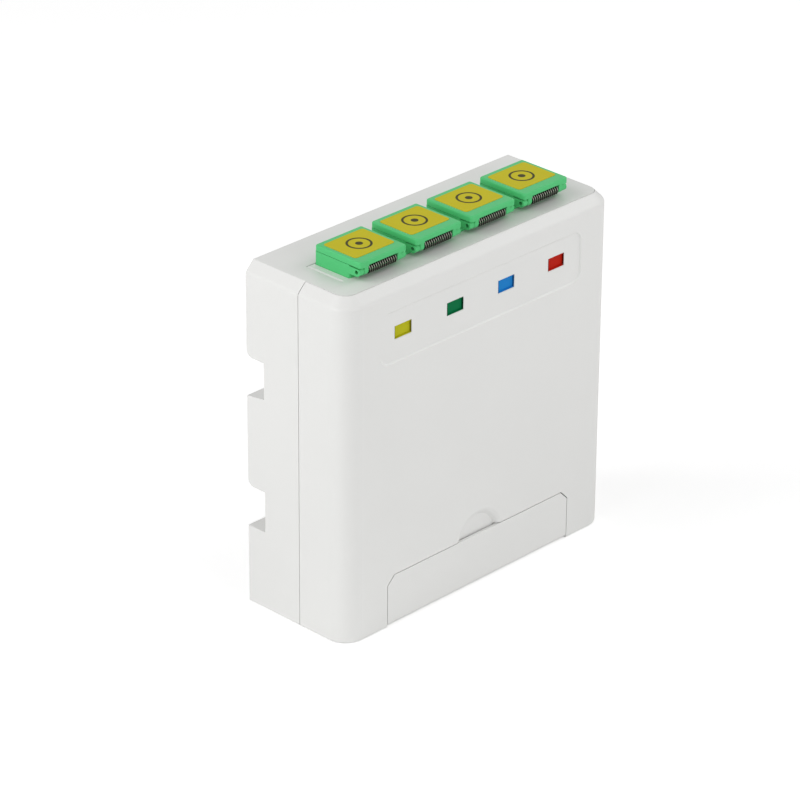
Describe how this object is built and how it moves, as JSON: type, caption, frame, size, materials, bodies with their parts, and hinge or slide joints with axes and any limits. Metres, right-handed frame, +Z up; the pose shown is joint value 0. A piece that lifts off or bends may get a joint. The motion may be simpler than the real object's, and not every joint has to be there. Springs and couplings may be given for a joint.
{
  "type": "din rail fibre box",
  "caption": "Small white fibre distribution box for a 35 mm rail: shuttered ports on top, colour windows and a service hatch in front, stepped rail seat with a sprung latch behind.",
  "frame": {"origin": "rail seat: mid width, on the plane that the rail's flanges touch, at the rail's centre line", "axes": "+X along the rail, +Y to the wall behind the rail, +Z up"},
  "size_m": [0.0732, 0.0262, 0.0761],
  "materials": {
    "housing_white": "satin white moulded plastic",
    "tray_white": "satin white moulded plastic",
    "comb_white": "satin white moulded plastic",
    "adapter_green": "green moulded plastic",
    "label_yellow": "bare yellow plate",
    "pin_steel": "bright steel",
    "spring_steel": "dark spring wire",
    "ceramic_white": "polished white ceramic",
    "holder_ivory": "natural plastic",
    "marker_yellow": "yellow plate",
    "marker_green": "dark green plate",
    "marker_blue": "blue plate",
    "marker_red": "red plate",
    "grommet_rubber": "black rubber",
    "screw_steel": "zinc plated steel",
    "latch_grey": "grey moulded plastic"
  },
  "bodies": {
    "housing": {"rear_shell": "housing_white", "front_cover": "housing_white", "adapter_body_1": "adapter_green", "shutter_pin_1": "pin_steel", "shutter_spring_1": "spring_steel", "ceramic_sleeve_1": "ceramic_white", "sleeve_holder_1": "holder_ivory", "adapter_body_2": "adapter_green", "shutter_pin_2": "pin_steel", "shutter_spring_2": "spring_steel", "ceramic_sleeve_2": "ceramic_white", "sleeve_holder_2": "holder_ivory", "adapter_body_3": "adapter_green", "shutter_pin_3": "pin_steel", "shutter_spring_3": "spring_steel", "ceramic_sleeve_3": "ceramic_white", "sleeve_holder_3": "holder_ivory", "adapter_body_4": "adapter_green", "shutter_pin_4": "pin_steel", "shutter_spring_4": "spring_steel", "ceramic_sleeve_4": "ceramic_white", "sleeve_holder_4": "holder_ivory", "colour_marker_1": "marker_yellow", "colour_marker_2": "marker_green", "colour_marker_3": "marker_blue", "colour_marker_4": "marker_red", "adapter_retainer": "housing_white", "retainer_screws": "screw_steel", "splice_tray": "tray_white", "splice_comb": "comb_white", "tray_screws": "screw_steel", "cable_clamp": "housing_white", "clamp_screw": "screw_steel", "cable_grommet_1": "grommet_rubber", "cable_grommet_2": "grommet_rubber", "cover_screw": "screw_steel", "latch_spring": "spring_steel"},
    "shutter_1": {"shutter_flap_1": "adapter_green", "port_label_1": "label_yellow"},
    "shutter_2": {"shutter_flap_2": "adapter_green", "port_label_2": "label_yellow"},
    "shutter_3": {"shutter_flap_3": "adapter_green", "port_label_3": "label_yellow"},
    "shutter_4": {"shutter_flap_4": "adapter_green", "port_label_4": "label_yellow"},
    "hatch": {"service_hatch": "housing_white"},
    "latch": {"rail_latch": "latch_grey"}
  },
  "joints": [
    {"name": "shutter_1_open", "type": "hinge", "parent": "housing", "child": "shutter_1", "pos_m": [-0.02205, -0.01595, 0.03918], "axis": [1, 0, 0], "range_deg": [0, 100], "stiffness_Nm_per_rad": 0.0008, "springref_deg": -34.38},
    {"name": "shutter_2_open", "type": "hinge", "parent": "housing", "child": "shutter_2", "pos_m": [-0.00735, -0.01595, 0.03918], "axis": [1, 0, 0], "range_deg": [0, 100], "stiffness_Nm_per_rad": 0.0008, "springref_deg": -34.38},
    {"name": "shutter_3_open", "type": "hinge", "parent": "housing", "child": "shutter_3", "pos_m": [0.00735, -0.01595, 0.03918], "axis": [1, 0, 0], "range_deg": [0, 100], "stiffness_Nm_per_rad": 0.0008, "springref_deg": -34.38},
    {"name": "shutter_4_open", "type": "hinge", "parent": "housing", "child": "shutter_4", "pos_m": [0.02205, -0.01595, 0.03918], "axis": [1, 0, 0], "range_deg": [0, 100], "stiffness_Nm_per_rad": 0.0008, "springref_deg": -34.38},
    {"name": "hatch_open", "type": "hinge", "parent": "housing", "child": "hatch", "pos_m": [0, -0.0205, -0.03355], "axis": [1, 0, 0], "range_deg": [0, 90]},
    {"name": "latch_release", "type": "slide", "parent": "housing", "child": "latch", "axis": [0, 0, -1], "range_m": [0, 0.0022], "stiffness_N_per_m": 250, "springref_m": -0.004, "deforming": ["latch_spring"]}
  ]
}
